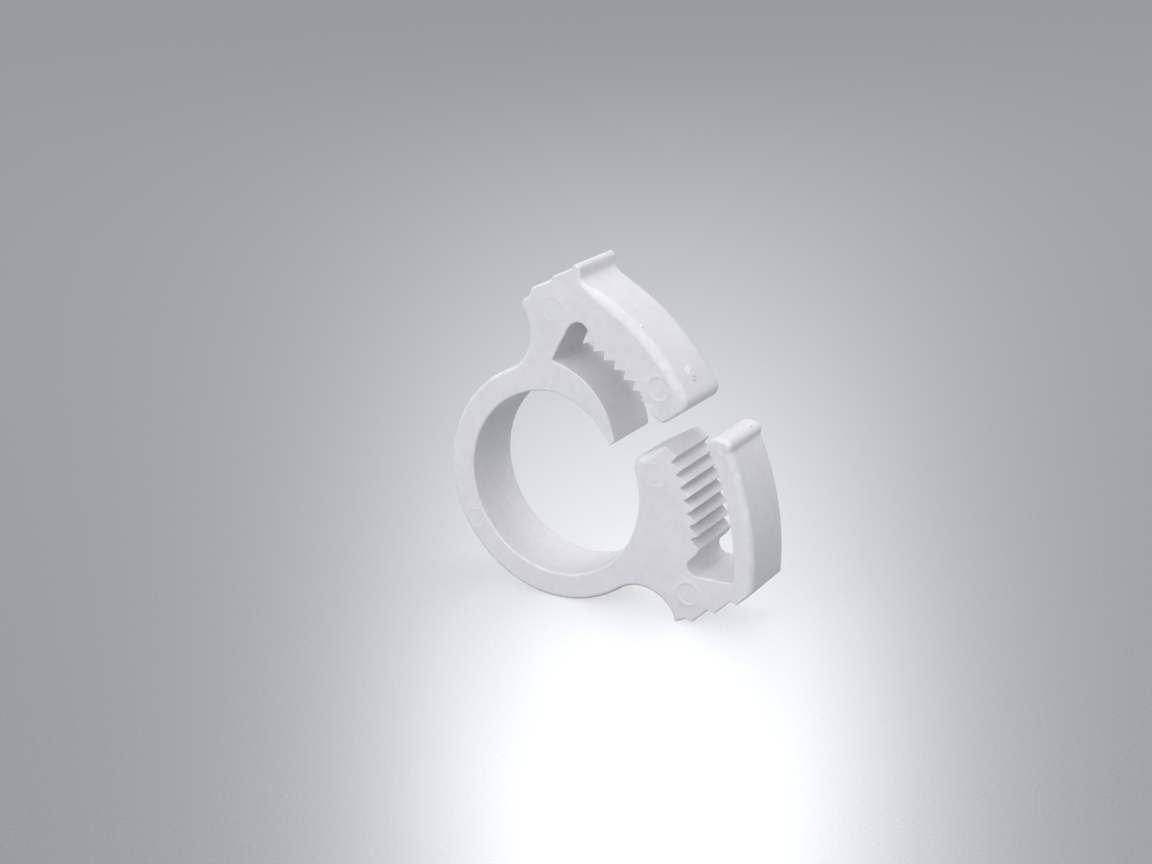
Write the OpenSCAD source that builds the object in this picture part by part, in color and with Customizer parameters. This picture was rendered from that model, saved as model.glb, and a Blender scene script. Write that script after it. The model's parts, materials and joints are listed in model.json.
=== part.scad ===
// Double-grip ratchet hose clamp, moulded in one piece in natural nylon.
// The profile lies in XZ and is extruded along Y, which is the axis of the hose.
// The origin is the centre of the hose bore. Standing height is set by the band's
// lowest point and the front corner of the lower head, which are level.
// All lengths are in millimetres and all angles in degrees.

/* [Hose band] */
// Diameter of the hose bore in the open, relaxed clamp
bore_d = 16; // [15.5:0.1:16.5]
// Width of the whole clamp along the hose
clamp_w = 5.9; // [4:0.1:9]
// Thickness of the band
band_t = 2.25; // [2.1:0.05:2.35]
// Number of flexure axes that share the bend of the band
band_flexures = 8; // [8:2:8]
// Polar angle of the first flexure, next to the lower head
flex_from = 298; // [294:1:300]
// Polar angle of the last flexure, next to the upper head
flex_to = 160; // [156:1:164]

/* [Ratchet jaws] */
// Number of teeth on each jaw
jaw_teeth = 8; // [4:1:8]
// Spacing of the teeth along the jaw
tooth_pitch = 1.12; // [1.05:0.01:1.15]
// Height of a tooth
tooth_h = 0.7; // [0.4:0.05:0.75]
// Radius of the upper arm's tooth tips about the jaw centre
arm_tip_r = 18.9; // [18.88:0.01:19.1]
// Radius of the prong's tooth tips about the jaw centre
prong_tip_r = 19.06; // [18.8:0.01:19.08]
// Radius of the outer arm's inner face about the jaw centre
slot_r = 22.08; // [21.9:0.01:22.3]
// Thickness of the outer arm
outer_arm_t = 1.7; // [1.4:0.05:1.8]

/* [Plier faces] */
// Spacing of the plier serrations
grip_pitch = 2.3; // [2.1:0.05:2.4]
// Slope of both plier faces
grip_slope = 29.1; // [27:0.1:31]

/* [Hidden] */
$fn = 96;
far = 60;                                  // longer than any size of the clamp
fit_gap = 0.05;                            // running clearance around a flexure barrel

bore_r = bore_d / 2;
band_r = bore_r + band_t;
mid_r = bore_r + band_t / 2;
flex_step = (flex_from - flex_to) / (band_flexures - 1);
twist_angle = (flex_from + flex_to) / 2;   // middle of the band's back

jaw_c = [-5.6, -4.3];                      // centre of the sliding arcs of both jaws
prong_root_r = prong_tip_r - tooth_h;
arm_root_r = arm_tip_r + tooth_h;
rack_t = 0.45;                             // thickness of the layer that carries the teeth
flank_share = 0.3;                         // part of a pitch that the steep flank takes
prong_step = tooth_pitch / prong_tip_r * 180 / PI;
arm_step = tooth_pitch / arm_tip_r * 180 / PI;
prong_first = 26;                          // polar angle of the prong's first tip
arm_first = 38.4;                          // polar angle of the arm's first tip
arm_root_angle = 64;                       // where the arm leaves the upper head

along = [cos(grip_slope), sin(grip_slope)];
function on_jaw(r, a) = jaw_c + r * [cos(a), sin(a)];
function on_ring(r, a) = r * [cos(a), sin(a)];
function flex_angle(i) = flex_from - (i - 1) * flex_step;

// Lower head
lower_fillet_r = 3.4;
lower_fillet = on_ring(band_r + lower_fillet_r, -54.8);
lower_corner = [lower_fillet[0] + sqrt(pow(lower_fillet_r, 2) - pow(lower_fillet[1] + band_r, 2)), -band_r];
lower_tip = [12.74, -9.93];                // first serration of the lower plier face
lower_riser = [-0.65, 0.15];
prong_end = [7.9, 3.45];                   // on the prong's end face
prong_end_slope = 27.9;
prong_corner_r = 0.5;
prong_corner = [7.98, 2.93];
prong_floor_r = 0.85;
outer_mid_r = slot_r + outer_arm_t / 2;
outer_hinge = [jaw_c[0] + outer_mid_r * cos(-4), jaw_c[1] + outer_mid_r * sin(-4)];
prong_floor = [13.2, outer_hinge[1] + prong_floor_r];
prong_foot = [[13.2, -3.95], [12.39, -4.8]];   // underside of the last tooth
outer_tip_angle = 25.2;
bead_r = 0.68;

// Upper head
upper_fillet_r = 3.65;
upper_fillet = on_ring(band_r + upper_fillet_r, 113.1);
upper_tip = [-1.42, 16.59];                // first serration of the upper plier face
upper_riser = [-0.18, -0.38];
neck_top_z = 12.2;
slot_wall = [0.41, 10.99];                 // on the left wall of the upper slot
slot_wall_slope = 61;
slot_root = [2.86, 13.1];
slot_root_r = 1.05;
arm_back_c = [-4.6, -0.2];                 // centre of the arm's outer face
arm_back_r = 19.3;
arm_end = [10.35, 6.62];                   // lowest point of the arm's end face
arm_end_slope = 33;
arm_end_w = 2.08;
arm_corner_r = 0.9;
arm_corner = arm_end + arm_end_w * [cos(arm_end_slope), sin(arm_end_slope)]
    + arm_corner_r * [-sin(arm_end_slope), cos(arm_end_slope)];
horn = [2.78, 18.42];
horn_r = 0.42;

// Tongue
tongue_hinge = [-0.25, 9.05];
tongue_barrel_r = 1;
tongue_in = [-0.95, 1.01];
tongue_in_r = 7.1;
tongue_out = [-0.95, 3.9];
tongue_out_r = 6.85;

// Extrudes a profile drawn in XZ over the clamp's width
module across() {
    rotate([90, 0, 0]) linear_extrude(clamp_w, center = true) children();
}

// Half of the plane to the left of a line through p in direction a
module left_of(p, a) {
    translate(p) rotate(a) translate([-far, 0]) square([2 * far, far]);
}

// Half of the plane to the right of a line through p in direction a
module right_of(p, a) {
    translate(p) rotate(a) translate([-far, -far]) square([2 * far, far]);
}

// Wedge about c from angle a0 to angle a1, less than half a turn
module wedge(c, a0, a1) {
    polygon([c, c + far * [cos(a0), sin(a0)], c + far * [cos((a0 + a1) / 2), sin((a0 + a1) / 2)],
             c + far * [cos(a1), sin(a1)]]);
}

// Part of the band between two polar angles
module band_sector(a0, a1) {
    intersection() {
        difference() {
            circle(band_r);
            circle(bore_r);
        }
        wedge([0, 0], a0, a1);
    }
}

module disc(c, r) {
    translate(c) circle(r);
}

// Socket that holds the barrel of flexure i
module band_socket(i) {
    disc(on_ring(mid_r, flex_angle(i)), band_t / 2 + fit_gap);
}

module band_barrel(i) {
    disc(on_ring(mid_r, flex_angle(i)), band_t / 2);
}

// Length of band between flexure i and flexure i + 1: barrel below, socket above
module band_link(i) {
    across() difference() {
        union() {
            band_sector(flex_angle(i + 1), flex_angle(i));
            band_barrel(i);
        }
        band_socket(i + 1);
    }
}

// Lower part of the middle length of band, which ends at the release twist
module twist_link_below(i) {
    across() {
        band_sector(twist_angle, flex_angle(i));
        band_barrel(i);
    }
}

// Upper part of the middle length of band
module twist_link_above(i) {
    across() difference() {
        band_sector(flex_angle(i), twist_angle);
        band_socket(i);
    }
}

// ---- lower head ----

module lower_outline() {
    difference() {
        union() {
            band_sector(flex_from, 345);
            polygon([on_ring(mid_r, 330), on_ring(mid_r, 307), lower_fillet, lower_corner,
                     lower_tip + lower_riser,
                     lower_tip + lower_riser + 2.75 * grip_pitch * along, outer_hinge,
                     [prong_floor[0], outer_hinge[1]], prong_floor,
                     prong_floor - [prong_floor_r, 0], prong_foot[1], prong_foot[0],
                     on_ring(mid_r, 345)]);
        }
        circle(bore_r);
        disc(lower_fillet, lower_fillet_r);
        band_socket(1);
        disc(outer_hinge, outer_arm_t / 2 + fit_gap);
    }
}

module lower_band_root() {
    color("ghostwhite") across() difference() {
        intersection() {
            lower_outline();
            circle(band_r);
        }
        left_of([0, -4.5], 0);
    }
}

module lower_head_block() {
    color("ghostwhite") across() difference() {
        lower_outline();
        circle(band_r);
        left_of([0, -4.5], 0);
        disc(prong_floor, prong_floor_r);
    }
}

module lower_prong() {
    color("whitesmoke") across() {
        difference() {
            intersection() {
                disc(jaw_c, prong_root_r - rack_t);
                left_of([0, -4.5], 0);
                right_of(prong_end, prong_end_slope);
                polygon([[5, -4.5], [14, -4.5], [14, 6], prong_end, prong_corner,
                         on_ring(bore_r - 0.5, 20.2), [5, 0]]);
            }
            circle(bore_r);
        }
        disc(prong_corner, prong_corner_r);
    }
}

function prong_tip(i) = on_jaw(prong_tip_r, prong_first - i * prong_step);
function prong_valley(i) = on_jaw(prong_root_r, prong_first - (i + flank_share) * prong_step);

// Space outside the prong's saw-tooth edge
module prong_space() {
    polygon([on_jaw(far, 60), prong_end + 3 * [cos(prong_end_slope), sin(prong_end_slope)],
             for (i = [0 : jaw_teeth - 2]) each [prong_tip(i), prong_valley(i)],
             prong_tip(jaw_teeth - 1), prong_foot[0], prong_foot[1], on_jaw(far, -12),
             on_jaw(far, 20)]);
}

module lower_prong_teeth() {
    color("white") across() difference() {
        intersection() {
            disc(jaw_c, prong_tip_r + 1);
            left_of([0, -4.5], 0);
            right_of(prong_end, prong_end_slope);
        }
        disc(jaw_c, prong_root_r - rack_t);
        prong_space();
    }
}

module lower_plier_teeth() {
    color("white") across() for (i = [0 : 2]) {
        tip = lower_tip + i * grip_pitch * along;
        polygon([tip + lower_riser, tip, tip + lower_riser + grip_pitch * along]);
    }
}

module outer_arm() {
    color("ghostwhite") across() {
        intersection() {
            difference() {
                disc(jaw_c, slot_r + outer_arm_t);
                disc(jaw_c, slot_r);
            }
            wedge(jaw_c, -4, outer_tip_angle);
        }
        disc(outer_hinge, outer_arm_t / 2);
    }
}

module outer_arm_bead() {
    inner = on_jaw(slot_r + bead_r, outer_tip_angle);
    outer = on_jaw(slot_r + outer_arm_t + 0.25 - bead_r, outer_tip_angle - 0.7);
    color("white") across() difference() {
        union() {
            disc(inner, bead_r);
            disc(outer, bead_r);
            polygon([on_jaw(slot_r, outer_tip_angle), on_jaw(slot_r + outer_arm_t, outer_tip_angle),
                     outer, outer + [0, bead_r], inner + [0, bead_r], inner]);
        }
        intersection() {
            disc(jaw_c, slot_r + outer_arm_t);
            wedge(jaw_c, -4, outer_tip_angle);
        }
    }
}

// ---- upper head ----

module upper_outline() {
    valley = upper_tip + upper_riser;
    difference() {
        union() {
            band_sector(91, flex_to);
            polygon([on_ring(mid_r, 111.5), upper_fillet, [-2.5, 15.2], [-2.34, 15.46],
                     [-1.75, 15.85], valley, valley + 2 * grip_pitch * along, [3.2, 18.4],
                     [3.2, 17.45], [4.6, 16.77], [4.4, 9], on_ring(mid_r, 92)]);
            band_barrel(band_flexures);
        }
        circle(bore_r);
        disc(upper_fillet, upper_fillet_r);
        polygon([tongue_hinge, [-0.179, 10.25], [1, 10.25], [1, 9]]);
        intersection() {
            disc(jaw_c, arm_root_r);
            right_of(slot_wall, slot_wall_slope);
        }
        disc(slot_root, slot_root_r);
        disc(tongue_hinge, tongue_barrel_r + fit_gap);
    }
}

module upper_band_root() {
    color("ghostwhite") across() intersection() {
        upper_outline();
        circle(band_r);
    }
}

module upper_neck() {
    color("whitesmoke") across() difference() {
        upper_outline();
        circle(band_r);
        left_of([0, neck_top_z], 0);
        right_of([0, bore_r + 1], 0);
    }
}

module upper_head_block() {
    color("ghostwhite") across() difference() {
        intersection() {
            upper_outline();
            left_of([0, neck_top_z], 0);
        }
        wedge(jaw_c, 0, arm_root_angle);
    }
}

// Area of the arm between its end face and the upper head
module arm_reach(outward) {
    polygon([jaw_c, arm_tip(0), arm_end, arm_end + arm_end_w * [cos(arm_end_slope), sin(arm_end_slope)],
             arm_corner, arm_corner + far / 2 * outward,
             on_jaw(far / 2, 50), on_jaw(far / 2, arm_root_angle)]);
}

module upper_arm() {
    outward = (arm_corner - arm_back_c) / norm(arm_corner - arm_back_c);
    color("ghostwhite") across() {
        difference() {
            intersection() {
                disc(arm_back_c, arm_back_r);
                arm_reach(outward);
            }
            disc(jaw_c, arm_root_r + rack_t);
        }
        disc(arm_corner, arm_corner_r);
    }
}

function arm_tip(i) = on_jaw(arm_tip_r, arm_first + i * arm_step);
function arm_valley(i) = on_jaw(arm_root_r, arm_first + (i + flank_share) * arm_step);

// Space inside the arm's saw-tooth edge
module arm_space() {
    polygon([jaw_c + [0, -3], for (i = [0 : jaw_teeth - 1]) each [arm_tip(i), arm_valley(i)],
             on_jaw(arm_root_r, 75), jaw_c + [-3, 0]]);
}

module upper_arm_teeth() {
    color("white") across() difference() {
        intersection() {
            disc(jaw_c, arm_root_r + rack_t);
            arm_reach([1, 0]);
        }
        arm_space();
    }
}

module upper_plier_teeth() {
    color("white") across() for (i = [0 : 1]) {
        tip = upper_tip + i * grip_pitch * along;
        polygon([tip + upper_riser, tip, tip + upper_riser + grip_pitch * along]);
    }
}

module upper_horn() {
    foot = upper_tip + upper_riser + 2 * grip_pitch * along;
    color("white") across() difference() {
        disc(horn, horn_r);
        polygon([foot, [3.2, 18.4], [3.2, 17], foot - grip_pitch * along]);
    }
}

// ---- tongue ----

module inner_tongue() {
    color("whitesmoke") across() {
        difference() {
            intersection() {
                disc(tongue_out, tongue_out_r);
                wedge(tongue_hinge, -95, slot_wall_slope);
                left_of([5.35, 4.05], 38);
            }
            disc(tongue_in, tongue_in_r);
        }
        disc(tongue_hinge, tongue_barrel_r);
    }
}

lower_band_root();
lower_head_block();
lower_prong();
lower_prong_teeth();
lower_plier_teeth();
outer_arm();
outer_arm_bead();
band_link(1);  // band_link_1
band_link(2);  // band_link_2
band_link(3);  // band_link_3
twist_link_below(4);  // band_link_4
twist_link_above(5);  // band_link_5
band_link(5);  // band_link_6
band_link(6);  // band_link_7
band_link(7);  // band_link_8
upper_band_root();
upper_neck();
upper_head_block();
upper_arm();
upper_arm_teeth();
upper_plier_teeth();
upper_horn();
inner_tongue();
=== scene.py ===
import json
import math

import bpy
import numpy as np
from mathutils import Matrix, Vector
from mathutils.geometry import delaunay_2d_cdt


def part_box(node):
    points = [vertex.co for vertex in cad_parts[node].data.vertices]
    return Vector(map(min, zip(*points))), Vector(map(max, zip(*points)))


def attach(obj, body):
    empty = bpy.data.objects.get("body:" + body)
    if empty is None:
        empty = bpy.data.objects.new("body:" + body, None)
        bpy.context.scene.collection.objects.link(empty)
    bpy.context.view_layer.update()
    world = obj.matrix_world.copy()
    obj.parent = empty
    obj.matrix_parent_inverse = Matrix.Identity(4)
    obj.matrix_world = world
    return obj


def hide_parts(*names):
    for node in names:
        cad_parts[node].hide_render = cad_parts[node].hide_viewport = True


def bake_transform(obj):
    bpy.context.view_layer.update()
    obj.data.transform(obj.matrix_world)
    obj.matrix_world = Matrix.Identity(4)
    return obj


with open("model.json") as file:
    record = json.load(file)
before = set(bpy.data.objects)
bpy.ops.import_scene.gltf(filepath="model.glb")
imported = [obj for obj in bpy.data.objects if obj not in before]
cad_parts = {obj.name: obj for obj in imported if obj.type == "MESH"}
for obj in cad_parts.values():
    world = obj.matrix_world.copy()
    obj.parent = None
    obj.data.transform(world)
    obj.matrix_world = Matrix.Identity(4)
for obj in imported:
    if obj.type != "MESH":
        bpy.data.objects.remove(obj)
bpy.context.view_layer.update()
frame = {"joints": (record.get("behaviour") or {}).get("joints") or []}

# ---------------------------------------------------------------- the clamp's sizes
# Lengths of the clamp are in mm and angles in degrees. The outline lies in x and z.
MM = 0.001
lo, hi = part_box("band_link_1")
HALF_W = (hi.y - lo.y) / 2 / MM                  # half the clamp's width
BORE_C = (0, 0)
BORE_R, BAND_R = 8.0, 10.25

JAW_C = np.array([-5.6, -4.3])                   # centre of both tooth arcs and the outer arm
TEETH, PITCH = 8, 1.12
PRONG_TIP, PRONG_ROOT, PRONG_FIRST = 19.06, 18.36, 26.0
ARM_TIP, ARM_ROOT, ARM_FIRST = 18.9, 19.6, 38.4
VALLEY = 0.3                                     # a valley's place between two tips
TOOTH_SOFT, TOOTH_EDGE = 0.045, 0.055

ARM_FACE_C, ARM_FACE_R = np.array([-4.6, -0.2]), 19.3
ARM_END = np.array([10.35, 6.62])
ARM_END_SLOPE, ARM_END_LENGTH, ARM_CORNER_R = math.radians(33), 2.08, 0.9

LOWER_FILLET_R, LOWER_FILLET_AT = 3.4, -54.8
UPPER_FILLET_R, UPPER_FILLET_AT = 3.65, 113.1
GRIP_SLOPE, GRIP_PITCH = math.radians(29.1), 2.3
GRIP_TIP, GRIP_VALLEY = np.array([12.74, -9.93]), np.array([-0.65, 0.15])


def polar(c, r, a):
    """The point at radius r and angle a about c."""
    return np.array([c[0] + r * math.cos(math.radians(a)), c[1] + r * math.sin(math.radians(a))])


# ---------------------------------------------------------------- the profile
# Each entry is x, z, the softness of the corner in the outline, and the radius of the
# edge between the wall and the flat faces. The material lies on the left.
profile = []
ARC_STEP = 0.12


def pt(x, z, soft=0.0, edge=0.2):
    profile.append((x, z, soft, edge))


def arc(c, r, a0, a1, soft=0.0, edge=0.2, edge1=None):
    """An arc about c from angle a0 to a1. Its edge radius runs from edge to edge1."""
    n = max(3, int(abs(math.radians(a1 - a0)) * r / ARC_STEP))
    for k in range(n + 1):
        p = polar(c, r, a0 + (a1 - a0) * k / n)
        e = edge if edge1 is None else edge + (edge1 - edge) * k / n
        profile.append((p[0], p[1], soft, e))


def saw_teeth(tip_r, root_r, first, step):
    """A row of saw teeth, from the last to the first."""
    for i in range(TEETH - 1, -1, -1):
        pt(*polar(JAW_C, tip_r, first + i * step), TOOTH_SOFT, TOOTH_EDGE)
        if i:
            pt(*polar(JAW_C, root_r, first + (i - 1 + VALLEY) * step), TOOTH_SOFT, TOOTH_EDGE)


# the band's outside
arc(BORE_C, BAND_R, 115.5, 303.5, 0.0, 0.34)
# fillet under the lower head, and the head's front corner
arc(polar(BORE_C, BAND_R + LOWER_FILLET_R, LOWER_FILLET_AT), LOWER_FILLET_R, 123.0, 22.0,
    0.15, 0.34, 0.3)
pt(11.146, -10.25, 0.14, 0.24)
# lower plier serrations
for k in range(3):
    along_grip = k * GRIP_PITCH * np.array([math.cos(GRIP_SLOPE), math.sin(GRIP_SLOPE)])
    pt(*(GRIP_TIP + along_grip + GRIP_VALLEY), 0.09, 0.16)
    pt(*(GRIP_TIP + along_grip), 0.075, 0.14)
pt(18.02, -6.55, 0.16, 0.26)
# outer arm: outer face, both sides of the bead and inner face
arc(JAW_C, 23.78, -4.9, 23.1, 0.1, 0.58)
arc(polar(JAW_C, 23.35, 24.5), 0.68, -2, 88, 0.06, 0.4)
arc(polar(JAW_C, 22.76, 25.2), 0.68, 92, 172, 0.06, 0.3)
arc(JAW_C, 22.08, 24.8, -2.6, 0.1, 0.16)
# floor of the slot behind the prong's teeth, and its round root
pt(16.42, -5.9, 0.26, 0.12)
arc((13.2, -5.05), 0.85, 268, 182, 0.04, 0.1)
pt(12.39, -4.8, 0.06, 0.08)
pt(13.22, -3.93, 0.05, 0.06)
saw_teeth(PRONG_TIP, PRONG_ROOT, PRONG_FIRST, -math.degrees(PITCH / PRONG_TIP))
# the prong's end face and its round inner corner
pt(10.6, 4.82, 0.22, 0.1)
pt(10.1, 4.62, 0.1, 0.4)
pt(9.0, 4.03, 0.1, 0.7)
pt(8.3, 3.66, 0.1, 0.75)
arc((8.47, 2.73), 0.9, 118, 197.5, 0.1, 0.55)
# the bore
arc(BORE_C, BORE_R, 17.7, -262.5, 0.05, 0.2)
# the tongue's inner face, tip and outer face
arc((-0.95, 1.01), 7.10, 80.7, 27.0, 0.12, 0.12)
pt(5.40, 4.08, 0.06, 0.08)
pt(5.86, 4.43, 0.07, 0.1)
arc((-0.95, 3.9), 6.85, 6.5, 77.0, 0.06, 0.14)
# wall and root of the slot between the tongue and the arm
pt(0.24, 10.66, 0.18, 0.12)
pt(1.0, 12.03, 0.0, 0.14)
pt(1.86, 13.5, 0.1, 0.14)
pt(2.18, 13.86, 0.1, 0.12)
pt(2.51, 14.05, 0.1, 0.12)
pt(2.89, 14.14, 0.1, 0.12)
pt(3.25, 14.05, 0.1, 0.12)
pt(3.55, 13.83, 0.1, 0.1)
pt(3.76, 13.5, 0.1, 0.08)
pt(3.5, 13.1, 0.08, 0.07)
saw_teeth(ARM_TIP, ARM_ROOT, ARM_FIRST, math.degrees(PITCH / ARM_TIP))
# the arm's end, its round corner and its outer face
pt(9.72, 6.98, 0.12, 0.2)
pt(10.36, 6.63, 0.16, 0.26)
along_end = np.array([math.cos(ARM_END_SLOPE), math.sin(ARM_END_SLOPE)])
into_arm = np.array([-math.sin(ARM_END_SLOPE), math.cos(ARM_END_SLOPE)])
arc(ARM_END + ARM_END_LENGTH * along_end + ARM_CORNER_R * into_arm, ARM_CORNER_R, -55, 26,
    0.1, 0.36)
arc(ARM_FACE_C, ARM_FACE_R, 29.5, 60.2, 0.2, 0.8)
# fillet beside the horn, the horn and the upper plier ledges
pt(3.62, 17.24, 0.2, 0.4)
pt(3.2, 17.62, 0.2, 0.34)
pt(3.2, 18.25, 0.08, 0.26)
arc((2.78, 18.42), 0.42, 0, 110, 0.07, 0.2)
pt(2.42, 18.45, 0.1, 0.2)
pt(0.59, 17.71, 0.11, 0.2)
pt(0.41, 17.33, 0.11, 0.2)
pt(-1.42, 16.59, 0.12, 0.22)
pt(-1.6, 16.21, 0.1, 0.22)
pt(-1.75, 15.87, 0.1, 0.22)
pt(-2.34, 15.46, 0.14, 0.25)
pt(-2.52, 15.12, 0.16, 0.3)
arc(polar(BORE_C, BAND_R + UPPER_FILLET_R, UPPER_FILLET_AT), UPPER_FILLET_R, 33.0, -64.0,
    0.15, 0.34)

# ------------------------------------------- dense, softened closed outline
STEP = 0.025                 # spacing of the dense outline
SOFT_SPAN, SOFT_PASSES = 2.2, 400
EDGE_PASSES, LIMIT_PASSES, SETTLE_PASSES, EDGE_MIN = 60, 2, 6, 0.025
CORNER_KAPPA = 0.5           # curvature above which an edge has to fit inside its corner
CORNER_SHARE, NO_LIMIT = 0.72, 9.0


def dense_outline(raw):
    """The profile at STEP spacing, and the index at which each of its entries starts."""
    rows, start = [], []
    for a, b in zip(raw, np.roll(raw, -1, axis=0)):
        start.append(len(rows))
        n = max(1, int(round(math.hypot(b[0] - a[0], b[1] - a[1]) / STEP)))
        rows += [a * (1 - k / n) + b * (k / n) for k in range(n)]
    return np.array(rows), start


def soften(points, softness, start):
    """Smooth the outline, only as far around each corner as that corner's softness."""
    reach = np.zeros(len(points))
    for at, s in zip(start, softness):
        if s <= 0:
            continue
        span = int(SOFT_SPAN * s / STEP) + 1
        for j in range(-span, span + 1):
            m = (at + j) % len(points)
            reach[m] = max(reach[m], s * (1 - abs(j) / (span + 1)) ** 0.5)
    rate = np.clip(reach ** 2 / (SOFT_PASSES * STEP ** 2), 0, 0.5)[:, None]
    for _ in range(SOFT_PASSES):
        points += rate * ((np.roll(points, 1, 0) + np.roll(points, -1, 0)) / 2 - points)


def spread(values):
    return 0.5 * values + 0.25 * (np.roll(values, 1) + np.roll(values, -1))


def edge_radii(wanted, kappa):
    """Edge radii that change gradually and are smaller than each convex corner's radius."""
    radii = wanted.copy()
    for _ in range(EDGE_PASSES):
        radii = spread(radii)
    limit = np.where(kappa > CORNER_KAPPA, CORNER_SHARE / np.maximum(kappa, CORNER_KAPPA), NO_LIMIT)
    for _ in range(LIMIT_PASSES):
        limit = np.minimum(limit, np.minimum(np.roll(limit, 1), np.roll(limit, -1)))
    radii = np.minimum(radii, limit)
    for _ in range(SETTLE_PASSES):
        radii = np.minimum(radii, spread(radii))
    return np.maximum(radii, EDGE_MIN)


raw = np.array(profile)
dense, starts = dense_outline(raw)
P = dense[:, :2].copy()                                    # points
soften(P, raw[:, 2], starts)
T = np.roll(P, -1, 0) - np.roll(P, 1, 0)                   # tangents
T /= np.linalg.norm(T, axis=1)[:, None]
N = np.stack([T[:, 1], -T[:, 0]], 1)                       # outward normals
seg = np.linalg.norm(np.roll(P, -1, 0) - P, axis=1)
turn = np.roll(T, 1, 0)[:, 0] * T[:, 1] - np.roll(T, 1, 0)[:, 1] * T[:, 0]
# curvature is positive at convex corners
edge_r = edge_radii(dense[:, 3], turn / np.maximum(np.roll(seg, 1), 1e-6))


def nearest(x, z):
    return int(np.argmin((P[:, 0] - x) ** 2 + (P[:, 1] - z) ** 2))


# Pieces meet on rays from the bore's centre, midway between the band's flexures. The
# side release twists the length between two rays at the back of the band.
FLEX = [298 - k * (138 / 7) for k in range(8)]
TWIST, TWIST_HALF = 229.0, 6.4
MIDWAY = [(a + b) / 2 for a, b in zip(FLEX, FLEX[1:])]
SEAMS = [303.6] + MIDWAY[:3] + [TWIST + TWIST_HALF, TWIST - TWIST_HALF] + MIDWAY[4:] + [150.2]
outer_at = [nearest(*polar(BORE_C, BAND_R, a)) for a in SEAMS]
inner_at = [nearest(*polar(BORE_C, BORE_R, a)) for a in SEAMS]
tongue_top = nearest(0.24, 10.66)
tongue_low = nearest(-0.45, 8.0)

# ---------------------------------------------------------------- mesh code
MAX_RUN, MAX_TURN = 0.30, math.radians(6.5)      # between two kept points of the outline
ROUND = 6                                        # steps over a rounded edge
RIM_WIDTH, RIM_SHARE = 0.035, 0.35               # flat strip beside a rounded edge

# ejector pin marks on the front face: x, z, radius, share of the full depth
PINS = [(10.05, 9.5, 0.93, 1.0), (0.49, 15.0, 0.93, 0.55), (9.55, 2.2, 0.93, 0.5),
        (12.37, -7.53, 0.93, 1.0), (16.0, 5.6, 0.93, 1.0), (-8.08, -4.4, 0.8, 0.5)]
PIN_DEPTH = 0.045
PIN_WALL_START, PIN_WALL = 0.09, 0.07            # the dish's wall, inwards from the radius
PIN_LIP_AT, PIN_LIP_WIDTH, PIN_LIP = 0.035, 0.05, 0.35
PIN_RINGS = (0.085, 0.035, -0.02, -0.09, -0.16)  # mesh rings, from the radius
PIN_SPOKES, PIN_CLEAR = 60, 0.05
PROBE = 0.01                                     # step for the slope of a mark


def chain(a, b):
    """Outline indices from a to b, thinned where the outline is straight."""
    n = len(P)
    ids = [a]
    i, since, turned = a, 0.0, 0.0
    while True:
        j = (i + 1) % n
        since += seg[i]
        turned += abs(math.atan2(T[i, 0] * T[j, 1] - T[i, 1] * T[j, 0], float(T[i] @ T[j])))
        i = j
        if i == b:
            ids.append(b)
            return ids
        if since > MAX_RUN or turned > MAX_TURN:
            ids.append(i)
            since, turned = 0.0, 0.0


def inside(q, poly):
    """Whether point q lies inside the closed polygon."""
    x, z = q
    a, b = poly, np.roll(poly, -1, 0)
    crossed = (a[:, 1] > z) != (b[:, 1] > z)
    with np.errstate(divide="ignore", invalid="ignore"):
        cut = a[:, 0] + (z - a[:, 1]) * (b[:, 0] - a[:, 0]) / (b[:, 1] - a[:, 1])
    return int(np.sum(crossed & (x < cut))) % 2 == 1


def pin_depth(x, z):
    """Depth of the pin marks at a point: a shallow dish inside a fine raised lip."""
    depth = 0.0
    for cx, cz, r, amount in PINS:
        d = math.hypot(x - cx, z - cz)
        dish = 1 - min(1.0, max(0.0, (d - (r - PIN_WALL_START)) / PIN_WALL))
        lip = max(0.0, 1 - abs(d - (r + PIN_LIP_AT)) / PIN_LIP_WIDTH)
        depth += PIN_DEPTH * amount * (dish - PIN_LIP * lip)
    return depth


def pin_normal(x, z):
    """Normal of the front face at a point."""
    slope_x = (pin_depth(x + PROBE, z) - pin_depth(x - PROBE, z)) / (2 * PROBE)
    slope_z = (pin_depth(x, z + PROBE) - pin_depth(x, z - PROBE)) / (2 * PROBE)
    return tuple(Vector((slope_x, -1, slope_z)).normalized())


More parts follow.
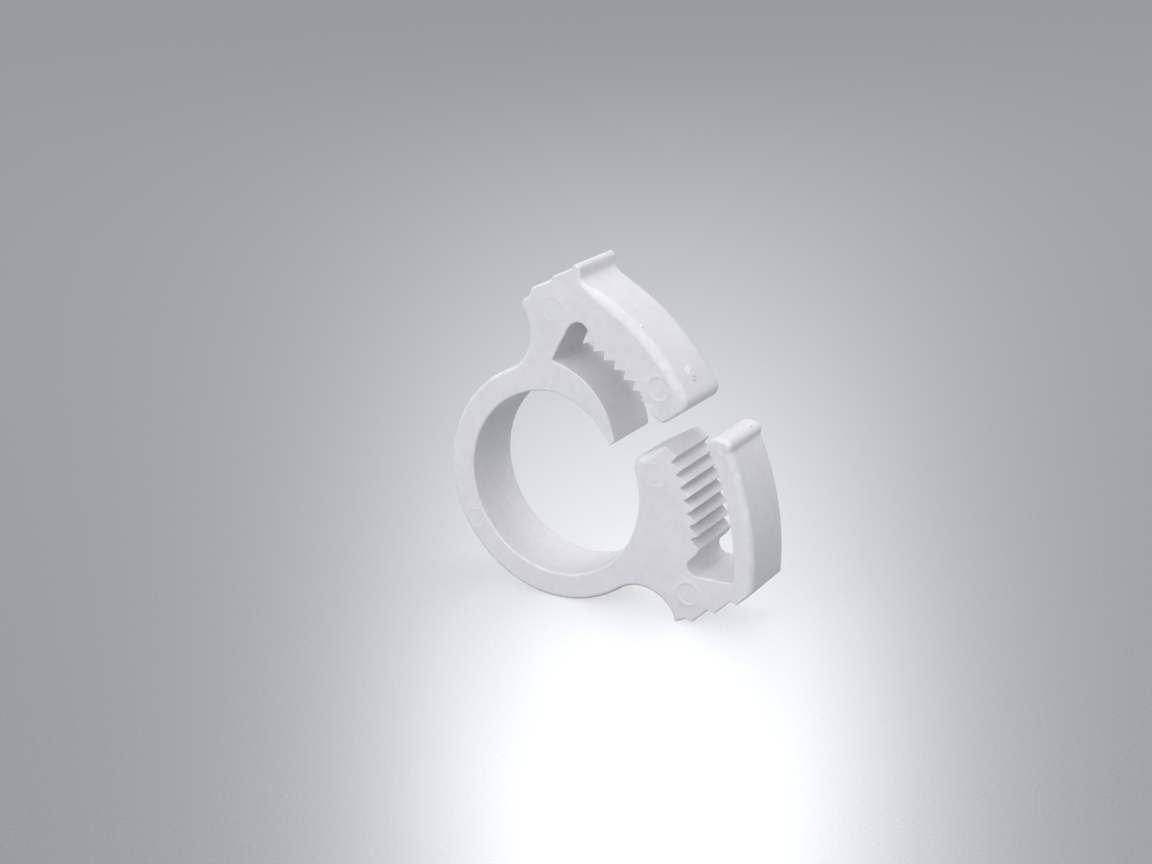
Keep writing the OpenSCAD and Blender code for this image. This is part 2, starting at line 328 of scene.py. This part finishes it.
class Solid:
    """Vertices, faces and custom normals of one closed piece of the clamp."""

    def __init__(self):
        self.verts, self.faces, self.wear, self.normals = [], [], [], []
        self.sharp = set()

    def vert(self, x, y, z, wear, normal):
        self.verts.append((x * MM, y * MM, z * MM))
        self.wear.append(wear)
        self.normals.append(normal)
        return len(self.verts) - 1

    def rounded_edge(self, ids, s):
        """Rows of vertices from the wall, over the edge, to the flat face on side s."""
        rows = []
        for k in range(ROUND + 2):
            t = math.pi / 2 * k / ROUND
            row = []
            for i in ids:
                e = edge_r[i]
                if k <= ROUND:
                    normal = (N[i][0] * math.cos(t), s * math.sin(t), N[i][1] * math.cos(t))
                    inset, y = e * (1 - math.cos(t)), HALF_W - e + e * math.sin(t)
                    # share of the painted edge glow, most in the middle of the rounded edge
                    wear = math.sin(2 * t)
                else:
                    normal = (0, s, 0)
                    # no painted edge glow on the flat rim
                    inset, y, wear = e + min(RIM_WIDTH, RIM_SHARE * e), HALF_W, 0.0
                q = P[i] - N[i] * inset
                row.append(self.vert(q[0], s * y, q[1], wear, normal))
            rows.append(row)
        for a, b in zip(rows, rows[1:]):
            for j in range(len(ids) - 1):
                f = (a[j], a[j + 1], b[j + 1], b[j])
                self.faces.append(f[::-1] if s > 0 else f)
        return rows

    def wall(self, a, b):
        for j in range(len(a) - 1):
            self.faces.append((b[j], b[j + 1], a[j + 1], a[j]))

    def flat_face(self, loop, s):
        """The flat face on side s, with the pin marks on the front one."""
        points = [Vector((self.verts[v][0] / MM, self.verts[v][2] / MM)) for v in loop]
        poly = np.array(points)
        edges = [(k, (k + 1) % len(loop)) for k in range(len(loop))]
        if s < 0:
            rings, ring_edges = pin_rings(poly)
            points, edges = points + rings, edges + ring_edges
        co, _, tri, origin, _, _ = delaunay_2d_cdt(points, edges, [], 1, 1e-6)
        index = []
        for c, sources in zip(co, origin):
            on_loop = [o for o in sources if o < len(loop)]
            if on_loop:
                index.append(loop[on_loop[0]])
            elif s < 0:
                index.append(self.vert(c[0], -HALF_W + pin_depth(c[0], c[1]), c[1], 0.0,
                                       pin_normal(c[0], c[1])))
            else:
                index.append(self.vert(c[0], HALF_W, c[1], 0.0, (0, 1, 0)))
        for t in tri:
            middle = sum((Vector(co[k]) for k in t), Vector((0, 0))) / len(t)
            if not inside(np.array(middle), poly):
                continue
            f = tuple(index[k] for k in t)
            a, b, c = (Vector(self.verts[k]) for k in f[:3])
            outward = (b - a).cross(c - a).y * s
            self.faces.append(f if outward > 0 else f[::-1])

    def cut(self, side, r, q, ahead):
        """The face where the piece is cut, from the end of run r to the start of run q."""
        out, back = range(ROUND + 2), range(ROUND + 1, -1, -1)
        path = ([side[-1][r][k][-1] for k in out] + [side[-1][q][k][0] for k in back]
                + [side[1][q][k][0] for k in out] + [side[1][r][k][-1] for k in back])
        at = [Vector(self.verts[v]) for v in path]
        centre = sum(at, Vector()) / len(path)
        facing = sum(((at[k - 1] - centre).cross(at[k] - centre) for k in range(len(path))),
                     Vector())
        forward = facing.x * ahead[0] + facing.z * ahead[1] > 0
        self.faces.append(tuple(path if forward else path[::-1]))
        self.sharp.update(frozenset((path[k - 1], path[k])) for k in range(len(path)))


def pin_rings(poly):
    """Points and edges of rings around the pin marks, where they lie inside a face."""
    points, edges = [], []
    for cx, cz, r, _ in PINS:
        for ring in [r + offset for offset in PIN_RINGS] + [0.5 * r]:
            previous = first = None
            for k in range(PIN_SPOKES):
                t = math.tau * k / PIN_SPOKES
                q = np.array([cx + ring * math.cos(t), cz + ring * math.sin(t)])
                if not inside(q, poly) or np.min(np.hypot(*(poly - q).T)) <= PIN_CLEAR:
                    previous = None
                    continue
                points.append(Vector(q))
                n = len(poly) + len(points) - 1
                if previous is not None:
                    edges.append((previous, n))
                if k == 0:
                    first = n
                if k == PIN_SPOKES - 1 and first is not None:
                    edges.append((n, first))
                previous = n
    return points, edges


def add_object(name, verts, faces, wear):
    """A smooth mesh object in natural nylon."""
    mesh = bpy.data.meshes.new(name)
    mesh.from_pydata(verts, [], faces)
    mesh.update()
    for p in mesh.polygons:
        p.use_smooth = True
    # the painted edge glow, which the nylon material turns into whiter edges
    att = mesh.attributes.new("edge_wear", "FLOAT", "POINT")
    att.data.foreach_set("value", np.array(wear, np.float32))
    mesh.materials.append(nylon)
    o = bpy.data.objects.new(name, mesh)
    bpy.context.scene.collection.objects.link(o)
    return o


def add_piece(name, chains):
    """A closed piece of the clamp between cuts. chains are runs of the outline, in order."""
    runs = [chain(a, b) for a, b in chains]
    solid = Solid()
    side = {s: [solid.rounded_edge(ids, s) for ids in runs] for s in (-1, 1)}
    for left, right in zip(side[-1], side[1]):
        solid.wall(left[0], right[0])
    for s in (-1, 1):
        solid.flat_face([v for rows in side[s] for v in rows[-1]], s)
    for r, ids in enumerate(runs):
        solid.cut(side, r, (r + 1) % len(runs), T[ids[-1]])
    o = add_object(name, solid.verts, solid.faces, solid.wear)
    for e in o.data.edges:
        if frozenset(e.vertices) in solid.sharp:
            e.use_edge_sharp = True
    o.data.normals_split_custom_set_from_vertices(
        [Vector(n).normalized() for n in solid.normals])
    return o


# ---------------------------------------------------------------- materials
def node(tree, kind, **values):
    n = tree.nodes.new(kind)
    for key, value in values.items():
        n.inputs[key].default_value = value
    return n


def new_tree(name):
    """An empty node material with a shader: the material, its tree, the shader."""
    material = bpy.data.materials.new(name)
    material.use_nodes = True
    tree = material.node_tree
    tree.nodes.clear()
    out = node(tree, "ShaderNodeOutputMaterial")
    shader = node(tree, "ShaderNodeBsdfPrincipled")
    tree.links.new(shader.outputs["BSDF"], out.inputs["Surface"])
    return material, tree, shader


def noise(tree, place, scale, detail, rough=0.5):
    n = node(tree, "ShaderNodeTexNoise", Scale=scale, Detail=detail, Roughness=rough)
    tree.links.new(place, n.inputs["Vector"])
    return n.outputs["Fac"]


def ramp(tree, source, low, high):
    """A colour ramp between two stops, each a position and a colour."""
    n = node(tree, "ShaderNodeValToRGB")
    for element, (position, colour) in zip(n.color_ramp.elements, (low, high)):
        element.position = position
        element.color = (*colour, 1)
    tree.links.new(source, n.inputs["Fac"])
    return n.outputs["Color"]


def map_range(tree, source, from_min, from_max, to_min=0.0, to_max=1.0):
    n = node(tree, "ShaderNodeMapRange", **{"From Min": from_min, "From Max": from_max,
                                            "To Min": to_min, "To Max": to_max})
    tree.links.new(source, n.inputs["Value"])
    return n.outputs["Result"]


def mix(tree, a, b, factor, blend="MIX"):
    """A colour mix. A socket is linked, and a plain value is set."""
    n = node(tree, "ShaderNodeMix")
    n.data_type, n.blend_type = "RGBA", blend
    for key, value in (("A", a), ("B", b), ("Factor", factor)):
        if isinstance(value, bpy.types.NodeSocket):
            tree.links.new(value, n.inputs[key])
        else:
            n.inputs[key].default_value = value
    return n.outputs["Result"]


def bump(tree, height, strength, distance, below=None):
    n = node(tree, "ShaderNodeBump", Strength=strength, Distance=distance)
    tree.links.new(height, n.inputs["Height"])
    if below is not None:
        tree.links.new(below, n.inputs["Normal"])
    return n.outputs["Normal"]


def make_nylon():
    m, t, shader = new_tree("natural_nylon")
    shader.inputs["IOR"].default_value = 1.5
    shader.inputs["Specular IOR Level"].default_value = 0.42
    place = node(t, "ShaderNodeTexCoord").outputs["Object"]
    # cloudy natural white with a fine mottle
    cloud = ramp(t, noise(t, place, 210.0, 3.0),
                 (0.3, (0.842, 0.815, 0.848)), (0.72, (0.875, 0.848, 0.872)))
    mottle = ramp(t, noise(t, place, 1500.0, 4.0, 0.6),
                  (0.35, (0.955, 0.955, 0.96)), (0.6, (1, 1, 1)))
    colour = mix(t, cloud, mottle, 1.0, "MULTIPLY")
    # painted glow: the rounded edges are painted a little whiter, in patches, standing in for light
    # that shines through the thin nylon at its edges
    wear = node(t, "ShaderNodeAttribute")
    wear.attribute_name = "edge_wear"
    glow_patches = node(t, "ShaderNodeMath")
    glow_patches.operation = "MULTIPLY"
    t.links.new(wear.outputs["Fac"], glow_patches.inputs[0])
    t.links.new(map_range(t, noise(t, place, 900.0, 5.0, 0.7), 0.46, 0.66), glow_patches.inputs[1])
    colour = mix(t, colour, (0.93, 0.93, 0.94, 1), glow_patches.outputs["Value"])
    # a few dust specks caught in the moulding
    cell = node(t, "ShaderNodeTexVoronoi", Scale=260.0, Randomness=1.0)
    t.links.new(place, cell.inputs["Vector"])
    speck = map_range(t, cell.outputs["Distance"], 0.018, 0.03, 0.55, 0.0)
    colour = mix(t, colour, (0.16, 0.15, 0.15, 1), speck)
    t.links.new(colour, shader.inputs["Base Color"])
    # satin mould finish
    gloss = map_range(t, noise(t, place, 620.0, 4.0, 0.6), 0.3, 0.7, 0.38, 0.56)
    t.links.new(gloss, shader.inputs["Roughness"])
    # spark-eroded grain, soft sink waves and drawn scratches
    drawn = node(t, "ShaderNodeMapping", Rotation=(0.0, 0.5, 0.0), Scale=(9000.0, 500.0, 420.0))
    t.links.new(place, drawn.inputs["Vector"])
    grain = bump(t, noise(t, place, 9000.0, 2.0), 0.35, 0.000006)
    sink = bump(t, noise(t, place, 330.0, 2.0, 0.4), 0.22, 0.00005, grain)
    scratch = bump(t, noise(t, drawn.outputs["Vector"], 1.0, 2.0), 0.2, 0.000008, sink)
    t.links.new(scratch, shader.inputs["Normal"])
    return m


def make_sheet():
    """The pale sheet that the clamp stands on, with a fine sparkle."""
    m, t, shader = new_tree("pale_sheet")
    shader.inputs["Roughness"].default_value = 0.36
    shader.inputs["Specular IOR Level"].default_value = 0.35
    place = node(t, "ShaderNodeTexCoord").outputs["Object"]
    sparkle = noise(t, place, 4200.0, 3.0, 0.6)
    t.links.new(ramp(t, sparkle, (0.38, (0.245, 0.262, 0.284)), (0.62, (0.27, 0.287, 0.308))),
                shader.inputs["Base Color"])
    t.links.new(bump(t, sparkle, 0.2, 0.00002), shader.inputs["Normal"])
    return m


nylon = make_nylon()

# ---------------------------------------------------------------- the pieces
# Each piece lies between two cuts; only the upper head's piece is attached to a body.
last = len(SEAMS) - 1

lower = add_piece("lower_head_shell", [(outer_at[0], inner_at[0])])
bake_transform(lower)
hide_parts("lower_band_root", "lower_head_block", "lower_prong", "lower_prong_teeth",
            "lower_plier_teeth", "outer_arm", "outer_arm_bead")

# from the lower head to the upper one, the band's bodies are band_1 to band_8
band_joints = [j for child in [f"band_{k}" for k in range(1, 9)] + ["upper_head"]
               for j in frame["joints"] if j["child"] == child]
hinge_angles = FLEX[:4] + [TWIST] + FLEX[4:]
for k, (joint, angle) in enumerate(zip(band_joints, hinge_angles)):
    piece = add_piece(f"band_{k + 1}_shell",
                      [(outer_at[k + 1], outer_at[k]), (inner_at[k], inner_at[k + 1])])
    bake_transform(piece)
    if joint["child"].startswith("band_"):
        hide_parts("band_link_" + joint["child"].split("_")[1])

upper = add_piece("upper_head_shell", [(tongue_top, outer_at[last]), (inner_at[last], tongue_low)])
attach(upper, "upper_head")
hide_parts("upper_band_root", "upper_neck", "upper_head_block", "upper_arm",
            "upper_arm_teeth", "upper_plier_teeth", "upper_horn")

tongue = add_piece("tongue_shell", [(tongue_low, tongue_top)])
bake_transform(tongue)
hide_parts("inner_tongue")

# the scar marks carry painted edge glow all over, which paints them a little whiter in patches
SCAR_RINGS, SCAR_SPOKES, SCAR_GLOW = 10, 40, 0.6
SCAR_SINK = 0.03                                 # how far a mark's rim sinks into the arm


def scar(name, angle, y, long, wide, height, middle, crown):
    """A small raised oval on the upper arm's outer face: a trimmed gate, or a flash nib.

    middle is the share of the height at its centre, and a high crown gives it a flat top.
    """
    verts, faces = [], []
    for i in range(SCAR_RINGS + 1):
        f = i / SCAR_RINGS
        for k in range(SCAR_SPOKES):
            t = math.tau * k / SCAR_SPOKES
            # a slightly uneven outline and surface, as torn plastic has
            uneven = 1 + 0.06 * math.sin(3 * t + 1.0) + 0.03 * math.sin(7 * t)
            a = math.radians(angle) - f * long * uneven * math.cos(t) / ARM_FACE_R
            ring = middle + (1 - middle) * math.sin(math.pi * f * 1.45) ** 2
            h = height * (1 - f ** crown) * ring - SCAR_SINK * f ** 8
            r = ARM_FACE_R + h + 0.25 * height * math.sin(5 * t + 9 * f) * (1 - f) * f
            verts.append(((ARM_FACE_C[0] + r * math.cos(a)) * MM,
                          (y + f * wide * uneven * math.sin(t)) * MM,
                          (ARM_FACE_C[1] + r * math.sin(a)) * MM))
    for i in range(SCAR_RINGS):
        for k in range(SCAR_SPOKES):
            q = (k + 1) % SCAR_SPOKES
            faces.append(tuple(ring * SCAR_SPOKES + spoke for ring, spoke in
                               ((i, k), (i + 1, k), (i + 1, q), (i, q))))
    o = add_object(name, verts, faces, [SCAR_GLOW] * len(verts))
    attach(o, "upper_head")


scar("gate_scar", 33.0, -0.35, 0.74, 0.62, 0.17, 0.5, 6)
scar("flash_nib", 48.3, -2.1, 0.2, 0.19, 0.1, 1.0, 2)

# ---------------------------------------------------------------- the camera
# The camera was fitted to the photo: its angles, its distance, and the object's scale
# and place in the picture.
AZIMUTH, ELEVATION, ROLL = math.radians(31.44), math.radians(18.23), math.radians(-2.0)
DISTANCE, SHIFT_RIGHT, SHIFT_UP = 150.0, 0.339, 3.464
PX_PER_MM, PHOTO_W, SENSOR = 11.856, 1152, 36

right = Vector((math.cos(AZIMUTH), math.sin(AZIMUTH), 0))
back = Vector((math.sin(AZIMUTH) * math.cos(ELEVATION), -math.cos(AZIMUTH) * math.cos(ELEVATION),
               math.sin(ELEVATION)))
up = Vector((-math.sin(AZIMUTH) * math.sin(ELEVATION), math.cos(AZIMUTH) * math.sin(ELEVATION),
             math.cos(ELEVATION)))
cam_right = math.cos(ROLL) * right + math.sin(ROLL) * up
cam_up = -math.sin(ROLL) * right + math.cos(ROLL) * up
cam_data = bpy.data.cameras.new("camera")
cam_data.sensor_width = SENSOR
cam_data.lens = PX_PER_MM * DISTANCE / PHOTO_W * SENSOR
cam_data.clip_start, cam_data.clip_end = 0.005, 20
cam = bpy.data.objects.new("camera", cam_data)
bpy.context.scene.collection.objects.link(cam)
cam_at = (back * DISTANCE + cam_right * SHIFT_RIGHT + cam_up * SHIFT_UP) * MM
cam.matrix_world = (Matrix.Translation(cam_at)
                    @ Matrix((cam_right, cam_up, back)).transposed().to_4x4())
bpy.context.scene.camera = cam

# ---------------------------------------------------------------- floor and light
FLOOR_Z, FLOOR_HALF = -BAND_R * MM, 1.6          # metres
corners = [(-FLOOR_HALF, -FLOOR_HALF), (FLOOR_HALF, -FLOOR_HALF), (FLOOR_HALF, FLOOR_HALF),
           (-FLOOR_HALF, FLOOR_HALF)]
floor_mesh = bpy.data.meshes.new("floor")
floor_mesh.from_pydata([(x, y, FLOOR_Z) for x, y in corners], [], [(0, 1, 2, 3)])
floor_mesh.materials.append(make_sheet())
floor = bpy.data.objects.new("floor", floor_mesh)
bpy.context.scene.collection.objects.link(floor)

world = bpy.data.worlds.new("studio")
bpy.context.scene.world = world
world.use_nodes = True
background = world.node_tree.nodes["Background"]
background.inputs["Color"].default_value = (0.93, 0.96, 1.0, 1)
background.inputs["Strength"].default_value = 0.72


def area(name, where, size, power, colour):
    """A rectangular lamp that faces the clamp. Metres and watts."""
    lamp_data = bpy.data.lights.new(name, "AREA")
    lamp_data.shape = "RECTANGLE"
    lamp_data.size, lamp_data.size_y = size
    lamp_data.energy = power
    lamp_data.color = colour
    o = bpy.data.objects.new(name, lamp_data)
    bpy.context.scene.collection.objects.link(o)
    o.location = where
    o.rotation_mode = "QUATERNION"
    o.rotation_quaternion = Vector(where).to_track_quat("Z", "Y")
    return o


# a lamp behind, linked to the sheet only, whose sheen makes the photo's pool of light
behind = -Vector((math.sin(AZIMUTH), -math.cos(AZIMUTH), 0))
lamp = area("back_lamp", behind * 0.45 + right * 0.024 + Vector((0, 0, 0.33)), (0.15, 0.15), 3.1,
            (1.0, 1.0, 1.0))
lamp.visible_diffuse = False
sheet_only = bpy.data.collections.new("sheet_only")
sheet_only.objects.link(floor)
lamp.light_linking.receiver_collection = sheet_only
lamp.light_linking.blocker_collection = sheet_only
# a soft box overhead and a fill from the front
area("soft_box", behind * 0.05 + right * 0.10 + Vector((0, 0, 0.40)), (0.20, 0.16), 0.35,
     (1.0, 0.99, 0.98))
area("front_fill", (0.0, -0.45, 0.25), (0.5, 0.4), 1.15, (0.98, 0.98, 1.0))

bpy.context.scene.view_settings.view_transform = "Standard"
